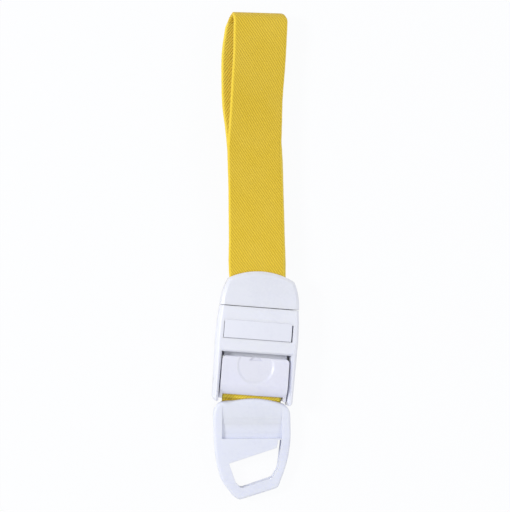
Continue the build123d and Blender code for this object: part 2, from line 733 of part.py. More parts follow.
with BuildSketch() as tab_outline:
    shoulder = tab_crest_radius - math.sqrt(tab_crest_radius**2 - tab_half**2)
    with BuildLine():
        ThreePointArc((-tab_half, -shoulder), (0, 0), (tab_half, -shoulder))
        right = Line((tab_half, -shoulder), (tab_half, -tab_straight))
        bow = TangentArc(right @ 1, (tab_foot_half, -tab_foot_line), tangent=(0, -1))
        foot_right = (tab_foot_right, -tab_foot_high)
        foot_left = (-tab_foot_left, -tab_length)
        Polyline(bow @ 1, foot_right, foot_left, (-tab_foot_half, -tab_foot_line))
        mirror(right, about=Plane.YZ)
        mirror(bow, about=Plane.YZ)
    make_face()
    for corner, radius in (
        ((tab_half, -shoulder), tab_shoulder),
        ((-tab_half, -shoulder), tab_shoulder),
        (foot_right, foot_right_round),
        (foot_left, foot_left_round),
    ):
        fillet(tab_outline.vertices().sort_by_distance(corner)[0], radius)

# finger opening, with the narrow gap that runs up beside the crossbar
with BuildSketch() as finger_hole:
    hole_left = (-hole_left_half, -bar_left_low)
    hole_foot_end = (-hole_foot_left_half, -hole_foot_left)
    hole_foot_start = (hole_foot_right_half, -hole_foot_right)
    with BuildLine():
        Polyline(
            hole_left,
            (bar_right_half, -bar_right_low),
            (gap_half - gap_width, -gap_top),
            (gap_half, -gap_top),
            (hole_right_half, -hole_right_low),
            hole_foot_start,
            hole_foot_end,
            (-hole_left_low_half, -hole_left_low),
            close=True,
        )
    make_face()
    for corner, radius in (
        (hole_foot_start, hole_round),
        ((hole_right_half, -hole_right_low), hole_round),
        (hole_foot_end, hole_round),
        (hole_left, hole_small_round),
        ((bar_right_half, -bar_right_low), hole_small_round),
    ):
        fillet(finger_hole.vertices().sort_by_distance(corner)[0], radius)

with BuildPart() as pull_tab:
    with BuildSketch(tab_plane.offset(-tab_back)):
        add(tab_outline.sketch)
    extrude(amount=tab_front + tab_back)
    fillet(pull_tab.faces().sort_by(tab_axis)[-1].edges(), tab_edge)
    fillet(pull_tab.faces().sort_by(tab_axis)[0].edges(), tab_edge)
    with BuildSketch(tab_plane.offset(-tab_back)):
        add(finger_hole.sketch)
    extrude(amount=tab_front + tab_back, mode=Mode.SUBTRACT)
    # ramp that falls from the crest to the crossbar
    with BuildSketch(tab_side.offset(-(tab_half - rim_left))):
        with BuildLine():
            Polyline(
                (-ramp_start, tab_front),
                (-ramp_end, tab_front - ramp_depth),
                (-ramp_end, 2 * tab_front),
                (-ramp_start, 2 * tab_front),
                close=True,
            )
        make_face()
    extrude(amount=tab_width - rim_left - rim_right, mode=Mode.SUBTRACT)
    # pocket for the webbing, open behind
    with BuildSketch(tab_side.offset(-clamped_width / 2 - soft_gap)):
        with Locations((-strap_in_tab - soft_gap + tab_length / 2, pocket_roof - tab_front)):
            Rectangle(tab_length, 2 * tab_front)
    extrude(amount=clamped_width + 2 * soft_gap, mode=Mode.SUBTRACT)
    # the shell is cut back below the webbing at its mouth
    with BuildSketch(tab_side.offset(-tab_width)):
        with Locations((tab_length / 2 - mouth_depth, pocket_roof - tab_front)):
            Rectangle(tab_length, 2 * tab_front)
    extrude(amount=2 * tab_width, mode=Mode.SUBTRACT)
    # low ribs across the ramp
    with BuildSketch(tab_side.offset(-(tab_half - rim_left))):
        for place in rib_places:
            fall = ramp_depth * (place - ramp_start) / (ramp_end - ramp_start)
            with Locations((-place, tab_front - fall)):
                Rectangle(rib_width, 2 * rib_height)
    extrude(amount=tab_width - rim_left - rim_right)

# plate behind the webbing, which clamps it in the tab
with BuildPart() as tab_clamp:
    clamp_face = -strap_thickness / 2 - fit_gap
    with BuildSketch(tab_plane.offset(-tab_back)):
        with Locations((0, -(mouth_depth + clamp_inset + strap_in_tab) / 2)):
            RectangleRounded(clamped_width, strap_in_tab - mouth_depth - clamp_inset, clamp_round)
    extrude(amount=clamp_face + tab_back)

# webbing held in the tab, with a round end on the swing line
with BuildPart() as strap_tab_end:
    with BuildSketch(tab_side.offset(-clamped_width / 2)):
        with Locations(((tab_lead - strap_in_tab) / 2, 0)):
            Rectangle(strap_in_tab + tab_lead, strap_thickness)
    extrude(amount=clamped_width)
    with BuildSketch(Plane.XY.offset(free_z)):
        with Locations((0, swing_y + tab_length / 2)):
            Rectangle(tab_width, tab_length)
    extrude(amount=tab_front, both=True, mode=Mode.SUBTRACT)
    with BuildSketch(Plane.YZ):
        with Locations((swing_y, free_z)):
            Circle(strap_thickness / 2)
    extrude(amount=clamped_width / 2, both=True)

for builder, name in (
    (buckle_body, "buckle_body"),
    (base_plate, "base_plate"),
    (release_flap, "release_flap"),
    (clamp_lever, "clamp_lever"),
    (lever_pin, "lever_pin"),
    (lever_spring, "lever_spring"),
    (plug_tray, "plug_tray"),
    (latch_arm, "latch_arm"),
    (plug_cap, "plug_cap"),
    (anchor_bar, "anchor_bar"),
    (strap_hem, "strap_hem"),
    (strap_upper, "strap_upper"),
    (strap_fold, "strap_fold"),
    (strap_under, "strap_under"),
    (strap_feed, "strap_feed"),
    (strap_free, "strap_free"),
    (pull_tab, "pull_tab"),
    (tab_clamp, "tab_clamp"),
    (strap_tab_end, "strap_tab_end"),
):
    save(builder, name)
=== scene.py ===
"""Looks of a quick-release tourniquet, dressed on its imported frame.

The moulded pieces start from their solids and get their final surface and a soft-edged plastic. The elastic
strap is woven as continuous lengths, which follow the head, the buckle, the free end and the tab. Lengths are
in metres; a size written in millimetres is multiplied by MM, and a Push is in millimetres throughout.
"""

import logging
import math
from dataclasses import dataclass, field
from enum import Enum
from typing import Iterable, Sequence

import bmesh
import bpy
from bpy.types import ID, Material, Mesh, Node, NodeOutputs, NodeSocket, NodeTree, Object
from mathutils import Matrix, Vector


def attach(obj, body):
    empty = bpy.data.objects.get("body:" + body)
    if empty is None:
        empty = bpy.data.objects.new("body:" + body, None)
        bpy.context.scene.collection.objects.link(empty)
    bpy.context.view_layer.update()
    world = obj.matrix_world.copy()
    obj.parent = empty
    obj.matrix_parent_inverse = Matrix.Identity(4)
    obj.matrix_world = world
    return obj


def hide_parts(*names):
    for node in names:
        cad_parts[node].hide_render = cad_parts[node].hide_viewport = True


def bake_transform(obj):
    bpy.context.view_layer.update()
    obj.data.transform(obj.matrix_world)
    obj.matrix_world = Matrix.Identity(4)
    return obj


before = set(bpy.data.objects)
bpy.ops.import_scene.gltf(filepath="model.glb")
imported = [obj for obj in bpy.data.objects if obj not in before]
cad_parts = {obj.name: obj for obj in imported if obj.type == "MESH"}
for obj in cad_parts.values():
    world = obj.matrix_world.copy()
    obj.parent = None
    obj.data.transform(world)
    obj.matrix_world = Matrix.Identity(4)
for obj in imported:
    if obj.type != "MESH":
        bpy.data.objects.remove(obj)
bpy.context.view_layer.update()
MM = 0.001
LOG = logging.getLogger("tourniquet")

Colour = tuple[float, float, float, float]
Outline = list[tuple[float, float]]
Triple = tuple[float, float, float]
Row = tuple[float, float, float, float, float]


def srgb(red: int, green: int, blue: int) -> Colour:
    """Turn a display colour into the linear colour that shaders take.

    Args:
        red: red, 0 to 255.
        green: green, 0 to 255.
        blue: blue, 0 to 255.

    Returns:
        The linear colour with full alpha.
    """

    def linear(level: int) -> float:
        """One channel, undone from its display curve."""
        share = level / 255
        return share / 12.92 if share <= 0.04045 else ((share + 0.055) / 1.055) ** 2.4

    return (linear(red), linear(green), linear(blue), 1.0)


# ---- shader groups


class SocketKind(Enum):
    """Kinds of socket that a node group can have."""

    VALUE = "NodeSocketFloat"
    COLOUR = "NodeSocketColor"
    VECTOR = "NodeSocketVector"


VALUE, COLOUR, VECTOR = SocketKind


class GroupMaker:
    """Small helper that wires the nodes of one shader group or material."""

    def __init__(self, tree: NodeTree) -> None:
        """Keep the tree that nodes are added to."""
        self.tree = tree

    def node(self, kind: str, **settings: object) -> Node:
        """Add a node.

        Args:
            kind: the node's type name, without its ShaderNode prefix.
            settings: properties to set on it.

        Returns:
            The new node.
        """
        made = self.tree.nodes.new("ShaderNode" + kind)
        for name, value in settings.items():
            setattr(made, name, value)
        return made

    def link(self, source: NodeSocket, target: NodeSocket) -> None:
        """Join two sockets."""
        self.tree.links.new(source, target)

    def feed(self, target: NodeSocket, value: object) -> None:
        """Give a socket a link or a plain value.

        Args:
            target: the socket that receives it.
            value: another socket, or the socket's own value.
        """
        if isinstance(value, NodeSocket):
            self.link(value, target)
        else:
            target.default_value = value

    def fill(self, node: Node, values: dict[str, object]) -> None:
        """Give a node's inputs links or plain values, each by its name."""
        for name, value in values.items():
            self.feed(node.inputs[name], value)

    def group(self, tree: NodeTree, values: dict[str, object]) -> Node:
        """Add a shared group with its own values.

        Args:
            tree: the group.
            values: socket name to value or socket.

        Returns:
            The group's node.
        """
        made = self.node("Group", node_tree=tree)
        self.fill(made, values)
        return made

    def math(self, operation: str, *values: object) -> NodeSocket:
        """Add a Math node.

        Args:
            operation: the node's operation.
            values: sockets or numbers for its inputs.

        Returns:
            Its output.
        """
        made = self.node("Math", operation=operation)
        for target, value in zip(made.inputs, values):
            self.feed(target, value)
        return made.outputs[0]

    def spread(self, value: object, low: float, high: float, to_low: float, to_high: float) -> NodeSocket:
        """Map a value's range onto another, clamped.

        Args:
            value: the socket to map.
            low: start of its range.
            high: end of its range.
            to_low: what the start becomes.
            to_high: what the end becomes.

        Returns:
            The mapped value.
        """
        made = self.node("MapRange")
        for target, item in zip(made.inputs, (value, low, high, to_low, to_high)):
            self.feed(target, item)
        return made.outputs[0]

    def blend(self, factor: object, first: object, second: object, mode: str = "MIX") -> NodeSocket:
        """Mix two colours.

        Args:
            factor: share of the second colour.
            first: first colour.
            second: second colour.
            mode: the blend mode.

        Returns:
            The mixed colour.
        """
        made = self.node("Mix", data_type="RGBA", blend_type=mode)
        self.feed(made.inputs["Factor"], factor)
        self.feed(made.inputs[6], first)
        self.feed(made.inputs[7], second)
        return made.outputs[2]

    def noise(self, vector: object, scale: float, detail: float = 2.0, rough: float = 0.5) -> NodeSocket:
        """Add a noise texture.

        Args:
            vector: coordinates.
            scale: features per unit.
            detail: octaves.
            rough: how much the finer octaves count.

        Returns:
            Its value, about 0.5 on average.
        """
        made = self.node("TexNoise")
        self.fill(made, {"Vector": vector, "Scale": scale, "Detail": detail, "Roughness": rough})
        return made.outputs["Fac"]


def new_group(
    name: str, inputs: Sequence[tuple[str, SocketKind, object]], outputs: Sequence[tuple[str, SocketKind]]
) -> tuple[GroupMaker, NodeOutputs, Node]:
    """Start a shader node group with named sockets.

    Args:
        name: the group's name.
        inputs: name, kind and default of each input.
        outputs: name and kind of each output.

    Returns:
        The group's maker, its inputs' sockets and its output node.
    """
    tree = bpy.data.node_groups.new(name, "ShaderNodeTree")
    for label, kind, default in inputs:
        tree.interface.new_socket(name=label, in_out="INPUT", socket_type=kind.value).default_value = default
    for label, kind in outputs:
        tree.interface.new_socket(name=label, in_out="OUTPUT", socket_type=kind.value)
    return GroupMaker(tree), tree.nodes.new("NodeGroupInput").outputs, tree.nodes.new("NodeGroupOutput")


def soft_edge_group() -> NodeTree:
    """Build the group that rounds a moulding's edges and tells where they are.

    Returns:
        A group with Radius, Grain and Grain Scale in, and Normal and Edge out.
    """
    make, given, result = new_group(
        "soft_edge",
        [("Radius", VALUE, 0.2 * MM), ("Grain", VALUE, 0.05), ("Grain Scale", VALUE, 2600.0)],
        [("Normal", VECTOR), ("Edge", VALUE)],
    )
    grain_depth = 0.05 * MM
    place = make.node("TexCoord").outputs["Object"]
    fine = make.node("TexNoise")
    make.fill(fine, {"Vector": place, "Scale": given["Grain Scale"]})
    bevel = make.node("Bevel", samples=6)
    make.link(given["Radius"], bevel.inputs["Radius"])
    bump = make.node("Bump")
    make.fill(bump, {"Strength": given["Grain"], "Distance": grain_depth})
    make.fill(bump, {"Height": fine.outputs["Fac"], "Normal": bevel.outputs[0]})
    across = make.node("VectorMath", operation="DOT_PRODUCT")
    make.link(bevel.outputs[0], across.inputs[0])
    make.link(make.node("NewGeometry").outputs["Normal"], across.inputs[1])
    edge = make.spread(across.outputs["Value"], 0.995, 0.85, 0.0, 1.0)
    make.fill(result, {"Normal": bump.outputs[0], "Edge": edge})
    return make.tree


def mottle_group() -> NodeTree:
    """Build the group that gives a moulding its faint flow marks and a painted highlight along its edges.

    Returns:
        A group with Tint, Amount, Base Roughness and Edge in, and Colour and Roughness out.
    """
    make, given, result = new_group(
        "moulded_mottle",
        [
            ("Tint", COLOUR, (0.8, 0.8, 0.85, 1.0)),
            ("Amount", VALUE, 0.3),
            ("Base Roughness", VALUE, 0.35),
            ("Edge", VALUE, 0.0),
        ],
        [("Colour", COLOUR), ("Roughness", VALUE)],
    )
    place = make.node("TexCoord").outputs["Object"]
    broad = make.noise(place, 55.0, 3.0)
    fine = make.noise(place, 700.0, 4.0, 0.6)
    shade = make.math("ADD", make.math("MULTIPLY", broad, 0.6), make.math("MULTIPLY", fine, 0.4))
    level = make.math("MULTIPLY", make.math("SUBTRACT", shade, 0.5), given["Amount"])
    shadow, edge_highlight = (0.80, 0.81, 0.86, 1.0), (0.95, 0.95, 1.0, 1.0)
    dark = make.blend(1.0, given["Tint"], shadow, "MULTIPLY")
    toned = make.blend(make.spread(level, 0.0, 0.12, 0.0, 0.5), given["Tint"], dark)
    # edges are painted lighter, a painted highlight; below, they also turn a little less rough
    light = make.blend(0.35, given["Tint"], edge_highlight)
    colour = make.blend(given["Edge"], toned, light)
    rough = make.math("ADD", given["Base Roughness"], make.math("MULTIPLY", level, 0.8))
    rough = make.math("SUBTRACT", rough, make.math("MULTIPLY", given["Edge"], 0.06))
    make.fill(result, {"Colour": colour, "Roughness": rough})
    return make.tree


def weave_group() -> NodeTree:
    """Build the group that weaves diagonal ribs, yarn ends and plain selvedges.

    Returns:
        A group whose coordinates are millimetres across and along the webbing.
    """
    make, given, result = new_group(
        "webbing_weave",
        [
            ("Rib", COLOUR, (0.7, 0.5, 0.06, 1.0)),
            ("Groove Shade", COLOUR, (0.45, 0.3, 0.03, 1.0)),
            ("Selvedge", COLOUR, (0.8, 0.56, 0.05, 1.0)),
            ("Pitch", VALUE, 1.0),
            ("Half Width", VALUE, 12.4),
            ("Selvedge Width", VALUE, 0.8),
        ],
        [("Colour", COLOUR), ("Height", VALUE), ("Roughness", VALUE)],
    )
    rib_run, rib_rise = 0.809, 0.588
    yarn_length, pick_spacing = 0.55, 0.9
    washed_out, lint = (0.90, 0.68, 0.14, 1.0), (0.94, 0.76, 0.2, 1.0)
    place = make.node("UVMap", uv_map="run").outputs[0]
    split = make.node("SeparateXYZ")
    make.link(place, split.inputs[0])
    across, along = split.outputs[:2]

    def from_middle(value: NodeSocket) -> NodeSocket:
        """How far a value is from the middle of its own whole step, 0 to 0.5."""
        return make.math("ABSOLUTE", make.math("SUBTRACT", make.math("FRACT", value), 0.5))

    # diagonal ribs, with a phase that wanders a little
    wander = make.math("MULTIPLY", make.math("SUBTRACT", make.noise(place, 0.35, 2.0), 0.5), 0.5)
    lean = make.math("ADD", make.math("MULTIPLY", across, rib_run), make.math("MULTIPLY", along, rib_rise))
    phase = make.math("DIVIDE", make.math("ADD", lean, wander), given["Pitch"])
    crown = make.spread(from_middle(phase), 0.5, 0.08, 0.0, 1.0)
    # yarn ends along each rib, set off by half from one rib to the next
    run, rise = make.math("MULTIPLY", along, rib_run), make.math("MULTIPLY", across, rib_rise)
    offset = make.math("MULTIPLY", make.math("FLOOR", phase), 0.5)
    step = make.math("DIVIDE", make.math("ADD", make.math("SUBTRACT", run, rise), offset), yarn_length)
    thread = make.spread(from_middle(step), 0.5, 0.15, 0.0, 1.0)
    body = make.math("MULTIPLY", crown, make.math("ADD", make.math("MULTIPLY", thread, 0.25), 0.75))
    # plain selvedges with their picks
    from_edge = make.math("SUBTRACT", given["Half Width"], make.math("ABSOLUTE", across))
    rim = make.math("DIVIDE", from_edge, given["Selvedge Width"])
    selvedge = make.spread(rim, 1.15, 0.85, 0.0, 1.0)
    hem_height = make.spread(from_middle(make.math("DIVIDE", along, pick_spacing)), 0.5, 0.1, 0.35, 0.9)
    # colour: grooves painted darker as painted shade, rising selvedge picks as painted highlight
    fuzz = make.noise(place, 3.2, 4.0, 0.7)
    tone = make.blend(body, given["Groove Shade"], given["Rib"])
    hem_share = make.math("MULTIPLY", hem_height, 0.55)
    hem = make.blend(hem_share, given["Rib"], given["Selvedge"])
    both = make.blend(selvedge, tone, hem)
    patches = make.spread(make.noise(place, 0.06, 3.0), 0.35, 0.7, 0.0, 0.12)
    faded = make.blend(patches, both, washed_out)
    colour = make.blend(make.spread(fuzz, 0.55, 0.8, 0.0, 0.2), faded, lint)
    # height and roughness
    height = make.node("Mix", data_type="FLOAT")
    make.link(selvedge, height.inputs["Factor"])
    make.link(body, height.inputs[2])
    make.link(hem_height, height.inputs[3])
    lifted = make.math("ADD", height.outputs[0], make.math("MULTIPLY", fuzz, 0.25))
    rough = make.spread(body, 0.0, 1.0, 0.9, 0.72)
    make.fill(result, {"Colour": colour, "Height": lifted, "Roughness": rough})
    return make.tree


# ---- finishes


@dataclass(frozen=True)
class MouldedPlastic:
    """White moulded plastic: soft edges with a painted highlight, faint flow marks and a fine grain."""

    name: str
    tint: Colour
    roughness: float = 0.38
    edge_radius: float = 0.28 * MM
    grain: float = 0.06
    grain_scale: float = 2600.0
    mottle: float = 0.35
    refraction: float = 1.47
    under_skin: float = 0.35
    skin_depth: Triple = (2.2 * MM, 2.2 * MM, 2.5 * MM)

    def build(self, groups: "Groups") -> Material:
        """Make the material.

        Args:
            groups: the shared shader groups.

        Returns:
            The finished material.
        """
        material, make, shader = blank_material(self.name)
        values = {"Radius": self.edge_radius, "Grain": self.grain, "Grain Scale": self.grain_scale}
        edge = make.group(groups.soft_edge, values)
        values = {"Tint": self.tint, "Amount": self.mottle, "Base Roughness": self.roughness}
        mottle = make.group(groups.mottle, values | {"Edge": edge.outputs["Edge"]})
        make.fill(shader, {"Base Color": mottle.outputs["Colour"], "Roughness": mottle.outputs["Roughness"]})
        make.link(edge.outputs["Normal"], shader.inputs["Normal"])
        make.fill(shader, {"IOR": self.refraction, "Subsurface Weight": self.under_skin})
        make.fill(shader, {"Subsurface Radius": self.skin_depth, "Subsurface Scale": 1.0})
        return material


@dataclass(frozen=True)
class WovenElastic:
    """Yellow elastic webbing with diagonal ribs and plain selvedges."""

    name: str
    rib: Colour
    # the grooves' colour, a painted shade
    groove_shade: Colour
    selvedge: Colour
    half_width: float = 12.4
    relief: float = 0.28 * MM
    relief_strength: float = 0.75

    def build(self, groups: "Groups") -> Material:
        """Make the material.

        Args:
            groups: the shared shader groups.

        Returns:
            The finished material.
        """
        material, make, shader = blank_material(self.name)
        values = {"Rib": self.rib, "Groove Shade": self.groove_shade, "Selvedge": self.selvedge}
        weave = make.group(groups.weave, values | {"Half Width": self.half_width})
        bump = make.node("Bump")
        values = {"Strength": self.relief_strength, "Distance": self.relief}
        make.fill(bump, values | {"Height": weave.outputs["Height"]})
        make.fill(shader, {"Base Color": weave.outputs["Colour"], "Roughness": weave.outputs["Roughness"]})
        make.link(bump.outputs[0], shader.inputs["Normal"])
        make.fill(shader, {"Specular IOR Level": 0.25, "Sheen Weight": 0.15, "Sheen Roughness": 0.5})
        return material


@dataclass(frozen=True)
class DrawnSteel:
    """Plain drawn steel, slightly uneven."""

    name: str
    tint: Colour
    roughness: float = 0.32
    mottle: float = 0.5

    def build(self, groups: "Groups") -> Material:
        """Make the material.

        Args:
            groups: the shared shader groups.

        Returns:
            The finished material.
        """
        material, make, shader = blank_material(self.name)
        values = {"Tint": self.tint, "Amount": self.mottle, "Base Roughness": self.roughness, "Edge": 0.0}
        mottle = make.group(groups.mottle, values)
        make.fill(shader, {"Base Color": mottle.outputs["Colour"], "Roughness": mottle.outputs["Roughness"]})
        shader.inputs["Metallic"].default_value = 1.0
        return material


def blank_material(name: str) -> tuple[Material, GroupMaker, Node]:
    """Start a material on a Principled shader.

    Args:
        name: the material's name.

    Returns:
        The material, its maker and its shader node.
    """
    material = bpy.data.materials.new(name)
    material.use_nodes = True
    return material, GroupMaker(material.node_tree), material.node_tree.nodes["Principled BSDF"]


class Groups:
    """The shader groups that the finishes share."""

    def __init__(self) -> None:
        """Build each group once."""
        self.soft_edge = soft_edge_group()
        self.mottle = mottle_group()
        self.weave = weave_group()


class Finish(Enum):
    """The finishes of this object."""

    BUCKLE = MouldedPlastic("buckle_white", srgb(231, 233, 245))
    FLAP = MouldedPlastic("flap_white", srgb(229, 231, 243), edge_radius=0.0, under_skin=0.0)
    LEVER = MouldedPlastic("lever_white", srgb(228, 229, 244), roughness=0.33)
    HEAD = MouldedPlastic("head_white", srgb(228, 230, 241), roughness=0.36)
    TAB = MouldedPlastic("tab_white", srgb(227, 230, 244), roughness=0.45, grain=0.1, grain_scale=1800.0)
    WEBBING = WovenElastic("yellow_elastic", srgb(242, 209, 61), srgb(206, 171, 44), srgb(246, 214, 64))
    # the webbing painted lighter for the free end, painted light where the lever and tab shade it
    CLEAN_WEBBING = WovenElastic("feed_elastic_painted_light", srgb(255, 232, 84), srgb(230, 194, 58), srgb(255, 232, 84))
    # the webbing painted lighter for the under strand, painted light where the upper strand shades it
    SHADED_WEBBING = WovenElastic("return_elastic_painted_light", srgb(249, 221, 78), srgb(224, 195, 68), srgb(251, 223, 80))
    PIN = DrawnSteel("pin_steel", srgb(190, 192, 194))
    SPRING = DrawnSteel("spring_wire", srgb(150, 152, 155), roughness=0.25)


class Wardrobe:
    """Makes each finish once and hands out its material."""

    def __init__(self) -> None:
        """Start with the shared groups and no materials."""
        self.groups = Groups()
        self.made: dict[Finish, Material] = {}

    def material(self, finish: Finish) -> Material:
        """The material of a finish, made on first use.

        Args:
            finish: the finish.

        Returns:
            Its material.
        """
        if finish not in self.made:
            self.made[finish] = finish.value.build(self.groups)
        return self.made[finish]

    def dress_nodes(self, names: Iterable[str], finish: Finish) -> None:
        """Give carried-over nodes a finish.

        Args:
            names: the nodes' names.
            finish: what they are made of.
        """
        for name in names:
            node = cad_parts[name]
            if not node.material_slots:
                node.data.materials.append(None)
            for holder in node.material_slots:
                holder.link = "OBJECT"
                holder.material = self.material(finish)
            LOG.info("dressed node %s in %s", name, finish.value.name)


def add_mesh(name: str, shape: bmesh.types.BMesh) -> Object:
    """Turn a shape into a piece of the scene.

    Args:
        name: the piece's name.
        shape: its faces; it is freed here.

    Returns:
        The piece.
    """
    mesh = bpy.data.meshes.new(name)
    bmesh.ops.recalc_face_normals(shape, faces=shape.faces)
    shape.to_mesh(mesh)
    shape.free()
    return add_object(name, mesh)


def add_object(name: str, data: ID) -> Object:
    """Put a mesh, lamp or camera into the scene.

    Args:
        name: the object's name.
        data: what it shows.

    Returns:
        The object.
    """
    made = bpy.data.objects.new(name, data)
    bpy.context.scene.collection.objects.link(made)
    return made


# ---- strap


LEVEL = Vector((1, 0, 0))


@dataclass
class Station:
    """One place along the webbing: its middle, the way across it and the run so far."""

    middle: Vector
    across: Vector
    run: float = 0.0


@dataclass
class Strap:
    """The elastic strap: one strip, cut where it passes from one moving body to the next."""

    width: float = 24.8 * MM
    clamped_width: float = 26.2 * MM
    thickness: float = 1.6 * MM
    crest: float = 29.0 * MM
    loop_length: float = 110.4 * MM
    edge_softness: float = 0.55 * MM
    # waves of its edges: size, rate for each metre and start
    edge_waves: tuple[Triple, ...] = ((0.05 * MM, 230, 0.0), (0.02 * MM, 1130, 1.3))
    step: float = 0.9 * MM
    # the hem, turned round the anchor bar
    anchor: Vector = field(default_factory=lambda: Vector((-0.6, 20.5, 8.2)) * MM)
    turn_radius: float = 1.6 * MM
    turn_setback: float = 1.8 * MM
    hem_tail: float = 4.0 * MM
    hem_steps: int = 8
    hem_setback: float = 2.0 * MM
    exit_height: float = 9.8 * MM
    exit_shift: float = -2.1 * MM
    # the far fold, where the webbing is drawn in a little
    fold_yaw: float = 6.0
    fold_steps: int = 16
    fold_run: float = 140.3 * MM
    fold_reach: float = 6.5 * MM
    fold_draw: float = 2.6 * MM
    # under the buckle, up through the base plate and out over the clamping bar
    flat_setback: float = 13.0 * MM
    feed_start: float = 16 * MM
    rise_start: float = -9.685 * MM
    rise_end: float = -14.915 * MM
    free_height: float = 4.6 * MM
    free_corner: float = -30 * MM
    free_end: float = -27.6 * MM
    feed_bend: float = 0.9 * MM
    feed_bend_steps: int = 6
    feed_step: float = 0.6 * MM
    # where the lever starts to press it wide, known once the feed is laid
    clamp_from: float = math.inf
    clamp_run: float = 20 * MM
    clamp_ease: float = 8 * MM
    # the end inside the tab; its turns are in degrees
    tab_turn: float = 4.3
    tab_tilt: float = 2.65
    tab_depth: float = 10.4 * MM
    tab_steps: int = 16
    tab_turn_rate: int = 8
    # each row: share of the loop, shift in widths, rise in thicknesses, roll and yaw in degrees
    upper: tuple[Row, ...] = (
        (0.010, -0.101, 0.00, 0.0, 0.0),
        (0.045, -0.116, 0.01, 0.0, 1.0),
        (0.127, -0.142, 0.06, 0.5, 0.0),
        (0.281, -0.205, 0.44, 5.0, 0.0),
        (0.449, -0.291, 1.00, 9.0, 0.0),
        (0.561, -0.319, 1.31, 12.5, 0.0),
        (0.688, -0.336, 1.56, 16.0, 1.0),
        (0.789, -0.341, 1.56, 14.5, 2.5),
        (0.879, -0.347, 1.38, 13.0, 4.5),
        (1.000, -0.363, 0.94, 9.0, 6.0),
    )
    under: tuple[Row, ...] = (
        (0.040, -0.045, 0.00, 0.0, 0.0),
        (0.175, -0.105, 0.00, 0.0, 0.0),
        (0.285, -0.160, 0.00, 0.0, 2.0),
        (0.444, -0.232, 0.31, 1.0, 5.0),
        (0.583, -0.335, 0.88, 3.0, 8.0),
        (0.679, -0.428, 1.25, 6.0, 8.0),
        (0.770, -0.482, 1.63, 9.0, 5.0),
        (0.879, -0.512, 2.00, 10.0, 4.0),
        (1.000, -0.488, 2.25, 11.0, 6.0),
    )

    @staticmethod
    def crossing(roll: float, yaw: float) -> Vector:
        """Direction across the webbing.

        Args:
            roll: lift of its left edge, in degrees.
            yaw: turn of its run, in degrees.

        Returns:
            A unit vector.
        """
        lifted, turned = math.radians(roll), math.radians(yaw)
        level = math.cos(lifted)
        return Vector((level * math.cos(turned), level * math.sin(turned), -math.sin(lifted)))

    def lay(self, row: Row, level: float) -> Station:
        """Place a station of the loop.

        Args:
            row: one row of upper or under.
            level: height that the rise is counted from.

        Returns:
            The station.
        """
        share, shift, rise, roll, yaw = row
        along = self.crest + share * self.loop_length
        middle = Vector((shift * self.width, along, level + rise * self.thickness))
        return Station(middle, self.crossing(roll, yaw))

    def upper_stations(self) -> list[Station]:
        """Stations of the upper strand, from the head's mouth to the fold."""
        mouth = Vector((self.exit_shift, self.crest - self.hem_setback, self.exit_height))
        return [Station(mouth, LEVEL)] + [self.lay(row, self.exit_height) for row in self.upper]

    def under_stations(self) -> list[Station]:
        """Stations of the under strand, from the fold back to the buckle.

        Returns:
            The stations in order.
        """
        level = self.thickness / 2
        laid = [self.lay(row, level) for row in reversed(self.under)]
        return laid + [Station(Vector((0, self.crest - self.flat_setback, level)), LEVEL)]

    def fold_stations(self) -> list[Station]:
        """Stations round the far fold.

        Returns:
            The stations between the two strands.
        """
        top, low = self.upper_stations()[-1], self.under_stations()[0]
        centre = (top.middle + low.middle) / 2
        arm = top.middle - centre
        yaw = math.radians(self.fold_yaw)
        ahead = Vector((-math.sin(yaw), math.cos(yaw), 0.0))
        placed = []
        for share in (number / self.fold_steps for number in range(1, self.fold_steps)):
            turn = math.pi * share
            roll = self.upper[-1][3] * (1 - share) + self.under[-1][3] * share
            middle = centre + arm * math.cos(turn) + ahead * (arm.length * math.sin(turn))
            placed.append(Station(middle, self.crossing(roll, self.fold_yaw)))
        return placed

    def hem_stations(self) -> list[Station]:
        """Stations of the end that is turned round the anchor bar.

        Returns:
            The stations up to the top of the turn.
        """
        bend = self.anchor + Vector((0, -self.turn_setback, 0))
        placed = [Station(self.anchor + Vector((0, self.hem_tail, -self.turn_radius)), LEVEL)]
        for number in range(self.hem_steps + 1):
            turn = math.radians(-90 - 180 * number / self.hem_steps)
            spoke = Vector((0, math.cos(turn), math.sin(turn))) * self.turn_radius
            placed.append(Station(bend + spoke, LEVEL))
        return placed

    def feed_stations(self) -> list[Station]:
        """Stations from under the head, through the base plate's slot and out over the clamping bar.

        Returns:
            The stations in order.
        """
        low, high = self.thickness / 2, self.free_height
        heights = {self.feed_start: low, self.rise_start: low, self.rise_end: high, self.free_corner: high}
        corners = [Vector((0, along, height)) for along, height in heights.items()]
        placed = [Station(corners[0], LEVEL)]
        for before, corner, after in zip(corners, corners[1:], corners[2:]):
            start = corner + (before - corner).normalized() * self.feed_bend
            end = corner + (after - corner).normalized() * self.feed_bend
            for number in range(self.feed_bend_steps + 1):
                share = number / self.feed_bend_steps
                middle = start.lerp(corner, share).lerp(corner.lerp(end, share), share)
                placed.append(Station(middle, LEVEL))
        return placed + [Station(Vector((0, self.free_end, high)), LEVEL)]

    def tab_stations(self) -> list[Station]:
        """Stations of the webbing's end inside the tab, which turns to the tab's own heading at once.

        Returns:
            Evenly spaced stations with their run from the first.
        """
        turn, tilt = math.radians(self.tab_turn), math.radians(self.tab_tilt)
        heading = Vector((math.sin(turn) * math.cos(tilt), -math.cos(turn) * math.cos(tilt), -math.sin(tilt)))
        start = Vector((0, self.free_end, self.free_height))
        placed = []
        for share in (number / self.tab_steps for number in range(self.tab_steps + 1)):
            run, turned = self.tab_depth * share, turn * min(1, share * self.tab_turn_rate)
            across = Vector((math.cos(turned), math.sin(turned), 0))
            placed.append(Station(start + heading * run, across, run))
        return placed

